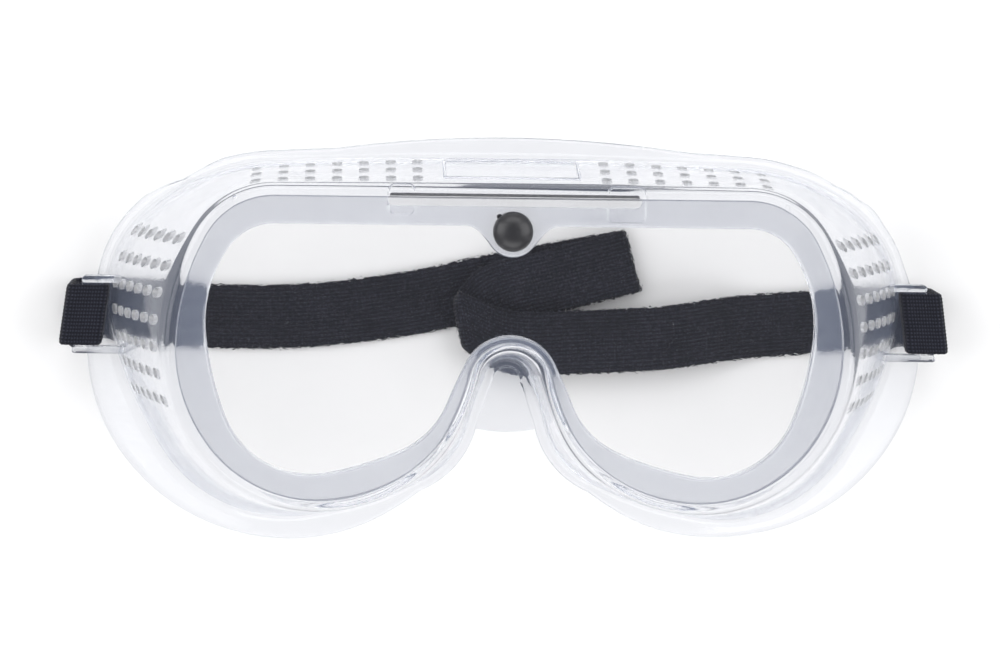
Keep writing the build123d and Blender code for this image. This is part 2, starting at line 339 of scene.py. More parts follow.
def flange_place(place):
    i = min(int(place), len(FLANGE_PLACE) - 2)
    t = place - i
    return FLANGE_PLACE[i] * (1 - t) + FLANGE_PLACE[i + 1] * t


def flange_edge(place):
    return flange_at(flange_place(place))


def lopsided(place):
    """How far the soft flange stands out more on the right than on average, and less on the left."""
    p = flange_place(place)
    return (LOP_BROW * math.exp(-((p - 1.9) / 0.75) ** 2) + LOP_TEMPLE * math.exp(-((p - 4.0) / 0.8) ** 2)
            - LOP_CHEEK * math.exp(-((p - 6.6) / 1.1) ** 2))


BOSS_SIDE = 4.6  # where the boss's circle runs into its fillet
BOSS_END = 9.6


def opening_edge(place):
    """The opening's edge, with the round boss that hangs down behind the button."""
    p = opening_at(place)
    if place > 1 or p.x > BOSS_END:
        return p
    if p.x < BOSS_SIDE:
        return Vector((p.x, BUTTON_Y - math.sqrt(BOSS_R ** 2 - p.x ** 2)))
    start = BUTTON_Y - math.sqrt(BOSS_R ** 2 - BOSS_SIDE ** 2)
    slope = BOSS_SIDE / math.sqrt(BOSS_R ** 2 - BOSS_SIDE ** 2)
    span = BOSS_END - BOSS_SIDE
    t = (p.x - BOSS_SIDE) / span
    y = ((2 * t ** 3 - 3 * t ** 2 + 1) * start + (t ** 3 - 2 * t ** 2 + t) * slope * span
         + (3 * t ** 2 - 2 * t ** 3) * p.y)
    return Vector((p.x, y))


# ---- the moulding
EDGE_ROUND = 0.7  # opening's front edge
RIM_ROUND = 0.9
BEAD_PLACE = 1.9  # a shallow line inside the rim's outer edge
BEAD_DEEP = 0.16
FILLET = 1.8
INNER_FILLET = 0.8
FLANGE_LEAST = 2.0  # the flange is at least this wide
LOP_BROW = 1.2
LOP_TEMPLE = 0.5
LOP_CHEEK = 0.6
STATIONS = [(0, 0.2, 20), (0.2, 1, 34), (1, 2, 24), (2, 3, 28), (3, 4, 28), (4, 5, 32), (5, 6, 26),
            (6, 7, 20), (7, 8, 20), (8, 9, 22)]  # places from, to, and how many steps


def places():
    found = []
    for start, end, steps in STATIONS:
        found += [start + (end - start) * k / steps for k in range(steps)]
    return found + [float(len(RIM) - 1)]


def mix(a, b, t):
    return a + (b - a) * t


def bend(a, corner, b, steps):
    """A rounded corner between two points."""
    return [(1 - t) ** 2 * a + 2 * t * (1 - t) * corner + t * t * b
            for t in (k / steps for k in range(1, steps))]


def up(p, z):
    return Vector((p.x, p.y, z))


def junction(place, inset, thickness):
    """How deep the skirt's wall meets the flange."""
    depth = BROW_DEPTH
    for _ in range(8):
        depth = FRONT - face_height(skirt_at(place, depth, inset).x, thickness)
    return depth


def section(place, side):
    """The moulding's closed cross-section at a place along its outline, drawn as on the right."""
    ring = []
    edge = opening_edge(place)
    rim = skirt_at(place, 0)
    out = (rim - edge).normalized()
    width = (rim - edge).length
    # the front lip, from the opening's rounded edge to the rim's rounded corner
    for k in range(5):
        a = math.pi / 2 * k / 4
        ring.append(up(edge + out * EDGE_ROUND * (1 - math.cos(a)), FRONT - EDGE_ROUND * (1 - math.sin(a))))
    bead = min(BEAD_PLACE, 0.53 * width)
    reach = min(0.7, 0.15 * width)
    for t in (0.25, 0.5, 0.75):
        ring.append(up(edge + out * mix(EDGE_ROUND, width - bead - reach, t), FRONT))
    for aside, low in ((1, 0), (0.5, 0.35), (0, 1), (-0.5, 0.35), (-1, 0)):
        ring.append(up(rim - out * (bead + aside * reach), FRONT - BEAD_DEEP * low))
    for k in range(6):
        a = math.pi / 2 * (1 - k / 5)
        depth = RIM_ROUND * (1 - math.sin(a))
        ring.append(up(skirt_at(place, depth) - out * RIM_ROUND * (1 - math.cos(a)), FRONT - depth))
    # down the wall, over two faint steps, and out over the flange
    join = junction(place, 0, WALL)
    corner = skirt_at(place, join)
    rim_out = flange_edge(place)
    square = (corner - skirt_at(place, join, WALL)).normalized()
    rim_out = rim_out + square * side * lopsided(place)
    flat = (rim_out - corner).length
    sure = min(max((flat - FLANGE_LEAST) / 2, 0), 1)
    rim_out = mix(corner + square * max(flat, FLANGE_LEAST), rim_out, sure)
    away = (rim_out - corner).normalized()
    flat = (rim_out - corner).length
    fillet = min(FILLET, 0.42 * flat)
    bottom = join - fillet
    for k in range(1, 15):
        depth = mix(RIM_ROUND, bottom, k / 15)
        swell = 0.14 * math.exp(-((depth - RIM_DEPTH) / 0.5) ** 2)
        swell -= 0.10 * math.exp(-((depth - 0.72 * join) / 0.6) ** 2)
        ring.append(up(skirt_at(place, depth, -swell), FRONT - depth))
    start = up(skirt_at(place, bottom), FRONT - bottom)
    landing = corner + away * fillet
    landing = up(landing, face_height(landing.x, WALL))
    ring.append(start)
    ring += bend(start, up(corner, face_height(corner.x, WALL)), landing, 5)
    half = WALL / 2
    turn = rim_out - away * half
    for k in range(8):
        p = mix(landing.xy, turn, k / 8)
        ring.append(up(p, face_height(p.x, WALL)))
    middle = face_height(turn.x, half)
    for k in range(9):
        a = math.pi / 2 - math.pi * k / 8
        ring.append(up(turn + away * half * math.cos(a), middle + half * math.sin(a)))
    # back under the flange, and up inside the wall
    inner_join = junction(place, WALL, 0)
    inner = skirt_at(place, inner_join, WALL)
    inward = (turn - inner).normalized()
    landing = inner + inward * INNER_FILLET
    for k in range(1, 8):
        p = mix(turn, landing, k / 8)
        ring.append(up(p, face_height(p.x)))
    landing = up(landing, face_height(landing.x))
    start = up(skirt_at(place, inner_join - INNER_FILLET, WALL), FRONT - inner_join + INNER_FILLET)
    ring.append(landing)
    ring += bend(landing, up(inner, face_height(inner.x)), start, 4)
    top = RIM_DEPTH + INNER_FILLET
    for k in range(10):
        depth = mix(inner_join - INNER_FILLET, top, k / 10)
        ring.append(up(skirt_at(place, depth, WALL), FRONT - depth))
    # the rear lip, and the groove for the lens
    start = up(skirt_at(place, top, WALL), FRONT - top)
    under = skirt_at(place, RIM_DEPTH, WALL)
    landing = up(under - out * INNER_FILLET, FRONT - RIM_DEPTH)
    ring.append(start)
    ring += bend(start, up(under, FRONT - RIM_DEPTH), landing, 4)
    for k in range(5):
        ring.append(up(mix(landing.xy, edge + out * 0.4, k / 5), FRONT - RIM_DEPTH))
    for k in range(4):
        a = math.pi / 2 * k / 3
        ring.append(up(edge + out * 0.4 * (1 - math.sin(a)), FRONT - RIM_DEPTH + 0.4 * (1 - math.cos(a))))
    groove = groove_at(place)
    low = FRONT - LIP - LENS_THICK - 2 * GROOVE_PLAY
    ring += [up(edge, low), up(mix(edge, groove, 0.5), low), up(groove, low)]
    ring += [up(groove, FRONT - LIP), up(mix(edge, groove, 0.5), FRONT - LIP), up(edge, FRONT - LIP)]
    return ring


def whole_loop(right, left):
    """The right half's sections, brow to nose, and the left half's mirrored and back again."""
    mirrored = [[Vector((-p.x, p.y, p.z)) for p in ring] for ring in left[1:-1]]
    return right + mirrored[::-1]


def wall_x(y, z):
    """Where the right temple's wall has its middle at a height."""
    best = min((abs(p.y - y), p.x) for p in (skirt_at(1 + 0.02 * k, FRONT - z, WALL / 2) for k in range(150)))
    return best[1]


def brow_wall_y(x, depth, proud):
    """The brow wall's height at x, standing proud by so much."""
    place = 0.5
    for _ in range(12):
        place += (x - skirt_at(place, depth).x) / 52
        place = min(max(place, 0.0), 1.4)
    return skirt_at(place, depth, -proud).y


ARM_END = 93.2
LUG_LEAN = 0.14  # the lugs and loops lean outwards towards the cheek


def leaning(side, points):
    """The right side's points leaning with the lug, or their mirror image on the left."""
    return [Vector((side * (p.x - LUG_LEAN * (p.y - LUG_Y)), p.y, p.z)) for p in points]


def lug_parts(side):
    """Two arms and the bar of a strap lug, as closed rounded shapes."""
    parts = []
    for y in (LUG_Y + 7.7, LUG_Y - 7.7):
        root = wall_x(y, 0.5 * (BAR_LOW + BAR_HIGH)) + LUG_LEAN * (y - LUG_Y)
        outline = rounded_rectangle(ARM_END - root, 1.5, 0.7, 4)
        outline = [p + Vector(((root + ARM_END) / 2, y)) for p in outline]
        parts.append(prism(outline, BAR_LOW - 0.5, BAR_HIGH + 0.5, 0.3))
    outline = rounded_rectangle(ARM_END - 0.1 - BAR_IN, 14.8, 0.6, 4)
    outline = [p + Vector(((BAR_IN + ARM_END - 0.1) / 2, LUG_Y)) for p in outline]
    parts.append(prism(outline, BAR_LOW + 0.05, BAR_HIGH - 0.05, 0.5))
    return [(leaning(side, points), faces) for points, faces in parts]


def ridge(path, width, low, high):
    """A closed raised line with a rounded back along a closed path: each point is a function of height."""
    count = len(path)
    profile = [(-0.5, 0.0), (-0.42, 0.7), (-0.2, 1.0), (0.2, 1.0), (0.42, 0.7), (0.5, 0.0)]
    points = []
    for i, (place, _) in enumerate(path):
        run = (path[(i + 1) % count][0] - path[i - 1][0]).normalized()
        side = Vector((run.y, -run.x))
        for across, rise in profile:
            points.append(path[i][1](place + side * across * width, mix(low, high, rise)))
    return points, ring_faces(count, len(profile))


PANEL_LENGTH = 28.6
PANEL_WIDTH = 11.4
PANEL_DEPTH = 11.4


def dense(outline, steps):
    """A closed outline with each side divided."""
    return [mix(outline[i], outline[(i + 1) % len(outline)], k / steps)
            for i in range(len(outline)) for k in range(steps)]


def panel_part():
    def on_brow(p, proud):
        depth = PANEL_DEPTH - p.y
        return Vector((p.x, brow_wall_y(p.x, depth, proud), FRONT - depth))

    half_l = PANEL_LENGTH / 2
    half_w = PANEL_WIDTH / 2
    corners = [Vector((half_l, half_w)), Vector((-half_l, half_w)), Vector((-half_l, -half_w)),
               Vector((half_l, -half_w))]
    return ridge([(p, on_brow) for p in dense(corners, 10)], 0.75, -0.35, 0.4)


TABS = ((-26.2, -20.6, 28.6, 35.0), (19.9, 27.9, 27.4, 34.9))  # x from and to, y from and to


def tab_part(x_low, x_high, y_low, y_high):
    """The raised outline of a lens tab on the front lip."""
    def flat(p, height):
        return Vector((p.x, p.y, FRONT + height))

    outline = rounded_rectangle(x_high - x_low, y_high - y_low, 1.4, 5)
    middle = Vector(((x_low + x_high) / 2, (y_low + y_high) / 2))
    return ridge([(p + middle, flat) for p in outline], 0.5, -0.3, 0.22)


def web_part():
    """The thin web across the nose gap."""
    points = []
    rows = 24
    columns = 16
    for layer in (0.25, 1.05):
        for r in range(rows + 1):
            y = mix(-5.2, -19.0, r / rows)
            place = min((abs(flange_at(9 + 0.01 * k).y - y), 9 + 0.01 * k) for k in range(301))[1]
            reach = flange_at(place).x + 0.75
            for c in range(columns + 1):
                x = reach * (2 * c / columns - 1)
                sag = (1.0 - (x / reach) ** 2) * r / rows
                points.append(Vector((x, y - sag, face_height(x, layer))))
    size = (rows + 1) * (columns + 1)
    faces = []
    for r in range(rows):
        for c in range(columns):
            a = r * (columns + 1) + c
            quad = (a, a + 1, a + columns + 2, a + columns + 1)
            faces.append(quad[::-1])
            faces.append(tuple(size + i for i in quad))
    border = ([c for c in range(columns)] + [r * (columns + 1) + columns for r in range(rows)]
              + [rows * (columns + 1) + c for c in range(columns, 0, -1)]
              + [r * (columns + 1) for r in range(rows, 0, -1)])
    for i, a in enumerate(border):
        b = border[(i + 1) % len(border)]
        faces.append((a, b, size + b, size + a))
    return points, faces


def vent_parts():
    parts = []
    first = FRONT - VENT_DEPTH
    for side in (-1, 1):
        for row in range(BROW_ROWS):
            for column in range(BROW_COLUMNS):
                start = (side * (BROW_VENT_X + VENT_PITCH * column), 30, first - VENT_PITCH * row)
                parts.append(rod(start, (0, 1, 0), VENT_R, 20))
        for row in range(TEMPLE_ROWS):
            for column in range(TEMPLE_COLUMNS):
                start = (side * 55, TEMPLE_VENT_Y + VENT_PITCH * row, first - TEMPLE_STEP * column)
                parts.append(rod(start, (side, 0, 0), VENT_R, 50))
    return parts


def nick_parts():
    """Two small nicks where the mould's halves met on the rim's upper corners."""
    parts = []
    for side, x, y in ((-1, 58.4, 31.2), (1, 57.9, 30.6)):
        outline = [p + Vector((side * x, y)) for p in rounded_rectangle(0.9, 2.0, 0.4, 4)]
        parts.append(prism(outline, FRONT - 0.45, FRONT + 1.0))
    return parts


def make_moulding(material, punched, painted_slit_shade):
    rings = whole_loop([section(place, 1) for place in places()], [section(place, -1) for place in places()])
    size = len(rings[0])
    body = make_object("pvc_moulding", [p for ring in rings for p in ring], ring_faces(len(rings), size),
                       material)
    added = [panel_part(), web_part()] + [tab_part(*tab) for tab in TABS]
    combine(body, [joined("added", [part], material) for part in added], "UNION")
    window = [p + Vector((WINDOW_X, WINDOW_Y)) for p in rounded_rectangle(WINDOW_LENGTH, WINDOW_WIDTH, 1.1)]
    slit = [p + Vector((WINDOW_X, 32.6)) for p in rounded_rectangle(52.6, 1.0, 0.4)]
    cuts = [joined("vents", vent_parts(), punched),
            joined("window", [prism(window, FRONT - LIP - 0.3, FRONT + 1.5)], material),
            # the slit's walls get a dark material: painted shade standing in for the gap over the lens's top
            # edge
            joined("slit", [prism(slit, FRONT - LIP - LENS_THICK + 0.03, FRONT - LIP + 0.43)], painted_slit_shade),
            joined("nicks", nick_parts(), material),
            joined("stud_hole", [rod((0, BUTTON_Y, FRONT - 8), (0, 0, 1), STUD_R + 0.05, 12, 32)], material)]
    combine(body, cuts, "DIFFERENCE")
    lugs = lug_parts(-1) + lug_parts(1)
    combine(body, [joined("lug", [part], material) for part in lugs], "UNION")
    finish_mesh(body)
    return body


def finish_mesh(obj):
    mesh = obj.data
    mesh.polygons.foreach_set("use_smooth", [True] * len(mesh.polygons))
    mesh.set_sharp_from_angle(angle=math.radians(SMOOTH_ANGLE))


# ---- lens, button and retainer
def make_lens(clear, edge):
    outline = half_outline(moved_in(LENS, 2 * GROOVE_PLAY))
    top = FRONT - LIP - GROOVE_PLAY
    low = top - LENS_THICK
    half = [[outline(place)] for place in places()]
    loop = [ring[0] for ring in half] + [Vector((-r[0].x, r[0].y)) for r in half[1:-1]][::-1]
    count = len(loop)
    points = []
    for z, inset in ((low, 0.25), (low + 0.1, 0.07), (low + 0.3, 0), (top - 0.3, 0), (top - 0.1, 0.07),
                     (top, 0.25)):
        for i, p in enumerate(loop):
            run = (loop[(i + 1) % count] - loop[i - 1]).normalized()
            points.append(up(p + inset * Vector((run.y, -run.x)), z))
    faces = ring_faces(6, count, close_rings=False)
    faces.append(tuple(range(count)))
    faces.append(tuple(range(5 * count, 6 * count)))
    lens = make_object("clear_lens", points, faces, clear, 0)
    lens.data.materials.append(edge)
    hole = rod((0, BUTTON_Y, low - 1), (0, 0, 1), STUD_R + 0.05, 5, 32)
    combine(lens, [joined("stud_hole", [hole], clear)], "DIFFERENCE")
    finish_mesh(lens)
    for face in lens.data.polygons:
        flat = abs(face.normal.z) > 0.999
        face.use_smooth = not flat
        face.material_index = 0 if flat else 1
    return lens


def lathe(profile, centre, sides, material, name):
    """A turned piece from (radius, z) points, both ends on the axis."""
    points = [Vector((centre[0], centre[1], profile[0][1]))]
    for radius, z in profile[1:-1]:
        for k in range(sides):
            a = 2 * math.pi * k / sides
            points.append(Vector((centre[0] + radius * math.cos(a), centre[1] + radius * math.sin(a), z)))
    points.append(Vector((centre[0], centre[1], profile[-1][1])))
    last = len(points) - 1
    faces = [(0, 1 + (k + 1) % sides, 1 + k) for k in range(sides)]
    for i in range(len(profile) - 3):
        a = 1 + i * sides
        for k in range(sides):
            n = (k + 1) % sides
            faces.append((a + k, a + n, a + sides + n, a + sides + k))
    a = 1 + (len(profile) - 3) * sides
    faces += [(a + k, a + (k + 1) % sides, last) for k in range(sides)]
    return make_object(name, points, faces, material)


def make_button(material):
    foot = FRONT - 6.6
    under = FRONT + 0.05
    profile = [(0, foot), (1.6, foot), (STUD_R, foot + 0.4), (STUD_R, under), (3.9, under),
               (4.15, under + 0.06), (BUTTON_R, under + 0.2), (BUTTON_R, FRONT + 0.85)]
    for k in range(1, 14):
        a = math.pi / 2 * k / 14
        profile.append((BUTTON_R * math.cos(a) ** 0.9, FRONT + 0.85 + 2.5 * math.sin(a) ** 0.92))
    profile.append((0, FRONT + 3.38))
    button = lathe(profile, (0, BUTTON_Y), 72, material, "round_button")
    nib_turn = math.radians(133)
    nib = (BUTTON_R * math.cos(nib_turn), BUTTON_Y + BUTTON_R * math.sin(nib_turn))
    dome = [(0, under), (0.5, under), (0.6, under + 0.15), (0.6, FRONT + 0.7), (0.45, FRONT + 0.95),
            (0, FRONT + 1.05)]
    combine(button, [lathe(dome, nib, 16, material, "nib")], "UNION")
    finish_mesh(button)
    return button


def make_retainer(material):
    top = FRONT - RIM_DEPTH - 0.02
    low = top - 1.4
    profile = [(0, low + 0.5), (STUD_R + 0.02, low + 0.5), (STUD_R + 0.1, low), (3.3, low), (3.7, low + 0.15),
               (3.9, low + 0.5), (3.9, top), (STUD_R + 0.02, top), (0, top)]
    washer = lathe(profile, (0, BUTTON_Y), 64, material, "retainer_washer")
    bore = rod((0, BUTTON_Y, low - 1), (0, 0, 1), STUD_R + 0.03, 4, 48)
    combine(washer, [joined("bore", [bore], material)], "DIFFERENCE")
    finish_mesh(washer)
    return washer


# ---- the elastic headband
STRAP_W = 13.4
FREE_W = 14.2  # the run spreads a little where nothing holds it
STRAP_T = 1.3
GAP = STRAP_T / 2 + 0.15  # from a bar's face to the strap's middle
LAYER = STRAP_T + 0.05
RUN_RISE = 2.6  # from one layer of the run to the next
RUN_END = 82.0
STEP = 0.45  # between rows of the mesh
RIB_HIGH = 0.055
RIBS = 17
STITCH_PITCH = 0.62

# stations (x, y, lean in degrees) along the folded run
RIGHT_FOLD = (26.6, 15.9, 14.5)
LEFT_FOLD = (-8.6, 2.5, 12.0)
UNDER_RUN = [(-RUN_END, LUG_Y, 0), (-64.5, 2.8, 0), (-42, 3.3, 3), (-20, 6.3, 10), (1.3, 11, 13), RIGHT_FOLD]
MIDDLE_RUN = [RIGHT_FOLD, (12, 12, 17), (-2, 8.2, 22), LEFT_FOLD]
FRONT_RUN = [LEFT_FOLD, (2, -1.9, 0), (18, -1.5, 1), (34.6, -0.5, 3), (50, 1.4, 3), (65.6, 2.7, 1),
             (RUN_END, LUG_Y, 0)]
STILL = Vector((0, 0, 0))  # an edge that isn't pulled along the strap


def corner_path(corners, radii):
    """A path of straight runs and round corners, as close points."""
    corners = [Vector(c) for c in corners]
    path = [corners[0]]
    for i, radius in enumerate(radii, 1):
        a = (corners[i - 1] - corners[i]).normalized()
        b = (corners[i + 1] - corners[i]).normalized()
        half = a.angle(b) / 2
        reach = radius / math.tan(half)
        centre = corners[i] + (a + b).normalized() * radius / math.sin(half)
        start = corners[i] + a * reach - centre
        end = corners[i] + b * reach - centre
        turn = math.pi - 2 * half
        for k in range(9):
            t = k / 8
            spoke = math.sin((1 - t) * turn) * start + math.sin(t * turn) * end
            path.append(centre + spoke / math.sin(turn))
    path.append(corners[-1])
    return path


def smooth_run(stations, steps=14):
    """A smooth curve of values through stations (Catmull-Rom)."""
    points = [Vector(s) for s in stations]
    ends = [2 * points[0] - points[1]] + points + [2 * points[-1] - points[-2]]
    found = []
    for i in range(1, len(ends) - 2):
        p0, p1, p2, p3 = ends[i - 1:i + 3]
        for k in range(steps):
            t = k / steps
            found.append(0.5 * (2 * p1 + (p2 - p0) * t + (2 * p0 - 5 * p1 + 4 * p2 - p3) * t * t
                                + (3 * p1 - p0 - 3 * p2 + p3) * t ** 3))
    return found + [points[-1]]


def loop_rows(side):
    """The strap round a lug, from its sewn tail to the run: rows of (middle, across, width)."""
    out = BAR_OUT + GAP
    corners = [(out - LAYER - 0.5, 4.0), (out - LAYER, 6.5), (out - LAYER, BAR_LOW - GAP),
               (BAR_IN - GAP, BAR_LOW - GAP), (BAR_IN - GAP, BAR_HIGH + GAP), (out, BAR_HIGH + GAP),
               (out, STRAP_T / 2), (RUN_END, STRAP_T / 2)]
    rows = []
    path = corner_path(corners, [3.0, 1.2, 0.9, 0.9, 1.1, 2.4])
    fine = []
    for a, b in zip(path, path[1:]):
        steps = max(1, int((b - a).length / 0.6))
        fine += [mix(a, b, k / steps) for k in range(steps)]
    fine.append(path[-1])
    length = 0.0
    previous = fine[0]
    for p in fine:
        length += (p - previous).length
        previous = p
        stray = 1.9 * max(0.0, 1 - length / 9.0) ** 1.5  # the sewn tail sits a little towards the cheek
        lean = LUG_LEAN if p.y > 3 else LUG_LEAN * max(0.0, (p.x - 84) / 11)
        middle = Vector((side * p.x, LUG_Y - stray, p.y))
        across = Vector((-side * lean, 1, 0))
        middle.x += side * lean * stray
        rows.append((middle, across, STRAP_W, STILL, STILL))
    return rows


def run_rows(stations, height):
    """Rows along a flat run: stations (x, y, lean in degrees), and height as a function of x."""
    rows = []
    for x, y, lean in smooth_run(stations):
        a = math.radians(lean)
        free = min(1.0, (RUN_END - abs(x)) / 12)
        rows.append((Vector((x, y, height(x))), Vector((-math.sin(a), math.cos(a), 0)),
                     mix(STRAP_W, FREE_W, free), STILL, STILL))
    return rows


def fold_rows(station, side, low, brow_pull, cheek_pull):
    """Rows round a half round fold, from one run up to the next, its two edges pulled along the strap."""
    x, y, lean = station
    a = math.radians(lean)
    along = Vector((math.cos(a), math.sin(a), 0)) * side
    across = Vector((-math.sin(a), math.cos(a), 0))
    radius = RUN_RISE / 2
    rows = []
    for k in range(1, 12):
        t = math.pi * k / 12
        out = math.sin(t)
        middle = Vector((x, y, low + STRAP_T / 2 + radius * (1 - math.cos(t)))) + along * radius * out * 1.15
        rows.append((middle, across, FREE_W, along * brow_pull * out, along * cheek_pull * out))
    return rows


def even_rows(rows, step):
    """Rows at even steps along the strap, with the length so far."""
    lengths = [0.0]
    for a, b in zip(rows, rows[1:]):
        lengths.append(lengths[-1] + (b[0] - a[0]).length)
    count = int(lengths[-1] / step)
    found = []
    i = 0
    for k in range(count + 1):
        s = lengths[-1] * k / count
        while i < len(rows) - 2 and lengths[i + 1] < s:
            i += 1
        span = lengths[i + 1] - lengths[i]
        t = (s - lengths[i]) / span if span else 0
        a, b = rows[i], rows[i + 1]
        found.append([mix(p, q, t) for p, q in zip(a, b)] + [s])
    return found


def strap_piece(name, rows, start, material):
    """A ribbed elastic along rows, start is the length before its first row."""
    points = []
    marks = []
    across_steps = 4 * RIBS
    for i, (middle, across, width, brow_pull, cheek_pull, length) in enumerate(rows):
        a = rows[max(i - 1, 0)][0]
        b = rows[min(i + 1, len(rows) - 1)][0]
        run = (b - a).normalized()
        across = across.normalized()
        normal = run.cross(across).normalized()
        for face in (1, -1):
            for k in range(across_steps + 1):
                v = k / across_steps * 2 - 1
                v *= face
                rib = RIB_HIGH * math.cos(2 * math.pi * RIBS * (v + 1) / 2 + math.pi)
                rounded = (1 - abs(v) ** 14)
                edge = 0.05 * math.sin(2 * math.pi * (start + length) / 1.15)
                reach = v * (width / 2 + edge)
                thick = (STRAP_T / 2 - RIB_HIGH + rib) * max(rounded, 0.0) ** 0.5
                pull = (brow_pull if v > 0 else cheek_pull) * abs(v) ** 4
                points.append(middle + across * reach + normal * face * thick + pull)
                marks.append((start + length, v * STRAP_W / 2))
    size = 2 * (across_steps + 1)
    faces = ring_faces(len(rows), size, close_rings=False)
    faces.append(tuple(range(size)))
    faces.append(tuple(range(len(points) - size, len(points))))
    obj = make_object(name, points, faces, material, 50)
    layer = obj.data.uv_layers.new(name="along")
    for loop in obj.data.loops:
        layer.data[loop.index].uv = marks[loop.vertex_index]
    return obj


def run_height(x):
    """The front run's height: on the other layers, then down to the bench."""
    high = 2 * RUN_RISE + STRAP_T / 2
    t = min(max((x - 34) / 26, 0.0), 1.0)
    t = t * t * (3 - 2 * t)
    return mix(high, STRAP_T / 2, t)


def make_straps(material):
    low = STRAP_T / 2
    left = loop_rows(-1)
    left += run_rows(UNDER_RUN, lambda x: low)[1:]
    left += fold_rows(RIGHT_FOLD, 1, 0, -0.2, 0.5)
    middle = run_rows(MIDDLE_RUN, lambda x: low + RUN_RISE)
    half = len(middle) // 2
    right = middle[half:]
    left += middle[:half + 1]
    right += fold_rows(LEFT_FOLD, -1, RUN_RISE, -1.9, -1.1)
    right += run_rows(FRONT_RUN, run_height)[:-1]
    right += loop_rows(1)[::-1]
    left = even_rows(left, STEP)
    right = even_rows(right, STEP)
    first = strap_piece("elastic_left", left, 0.0, material)
    second = strap_piece("elastic_right", right, left[-1][-1], material)
    return first, second, left[-1][-1], right[-1][-1]


def make_stitching(side, material, name):
    """Four rows of short stitches that sew the tail down, on the loop's outer face."""
    out = BAR_OUT + GAP + STRAP_T / 2 + 0.02
    parts = []
    for row in range(4):
        z = 7.4 + 1.3 * (row - 1.5)
        for k in range(9):
            y = LUG_Y - 5.3 + 1.33 * k
            rings = []
            for j in range(7):
                t = j / 6
                swell = math.sin(math.pi * mix(0.08, 0.92, t))
                stray = 0.06 * math.sin(6 * k + row)
                centre = Vector((out + 0.16 * swell - 0.1, y + (t - 0.5), z + stray))
                for m in range(8):
                    a = 2 * math.pi * m / 8
                    rings.append(centre + Vector((math.cos(a), 0, math.sin(a))) * 0.2 * swell ** 0.5)
            faces = ring_faces(7, 8, close_rings=False) + [tuple(range(8)), tuple(range(48, 56))]
            parts.append((leaning(side, rings), faces))
    return joined(name, parts, material)


# ---- materials
class Nodes:
    """Short calls for building a node tree."""

    def __init__(self, name):
        self.material = bpy.data.materials.new(name)
        self.material.use_nodes = True
        self.tree = self.material.node_tree
        self.tree.nodes.clear()
        self.out = self.tree.nodes.new("ShaderNodeOutputMaterial")

    def add(self, kind, **values):
        node = self.tree.nodes.new(kind)
        for key, value in values.items():
            setattr(node, key, value)
        return node

    def link(self, a, b):
        self.tree.links.new(a, b)

    def principled(self, constants):
        shader = self.add("ShaderNodeBsdfPrincipled")
        for name, value in constants.items():
            shader.inputs[name].default_value = value
        return shader

    def finished(self, surface):
        self.link(surface, self.out.inputs["Surface"])
        return self.material

    def set(self, socket, value):
        if isinstance(value, bpy.types.NodeSocket):
            self.link(value, socket)
        else:
            socket.default_value = value

    def math(self, operation, a, b=0.0, c=None):
        node = self.add("ShaderNodeMath", operation=operation)
        self.set(node.inputs[0], a)
        self.set(node.inputs[1], b)
        if c is not None:
            self.set(node.inputs[2], c)
        return node.outputs[0]

    def noise(self, vector, scale, detail=2.0, roughness=0.5):
        node = self.add("ShaderNodeTexNoise")
        self.link(vector, node.inputs["Vector"])
        node.inputs["Scale"].default_value = scale
        node.inputs["Detail"].default_value = detail
        node.inputs["Roughness"].default_value = roughness
        return node.outputs["Fac"]

    def ramp(self, value, stops):
        node = self.add("ShaderNodeValToRGB")
        elements = node.color_ramp.elements
        while len(elements) < len(stops):
            elements.new(0.5)
        for element, (place, colour) in zip(elements, stops):
            element.position = place
            element.color = (*colour, 1)
        self.link(value, node.inputs["Fac"])
        return node.outputs["Color"]

    def bump(self, height, strength, distance, under=None):
        node = self.add("ShaderNodeBump")
        node.inputs["Strength"].default_value = strength
        node.inputs["Distance"].default_value = distance
        self.link(height, node.inputs["Height"])
        if under is not None:
            self.link(under, node.inputs["Normal"])
        return node.outputs["Normal"]

    def place(self):
        return self.add("ShaderNodeTexCoord").outputs["Object"]

    def stretched(self, vector, scale):
        node = self.add("ShaderNodeMapping")
        node.inputs["Scale"].default_value = scale
        self.link(vector, node.inputs["Vector"])
        return node.outputs["Vector"]


def grey(value):
    return (value, value, value)


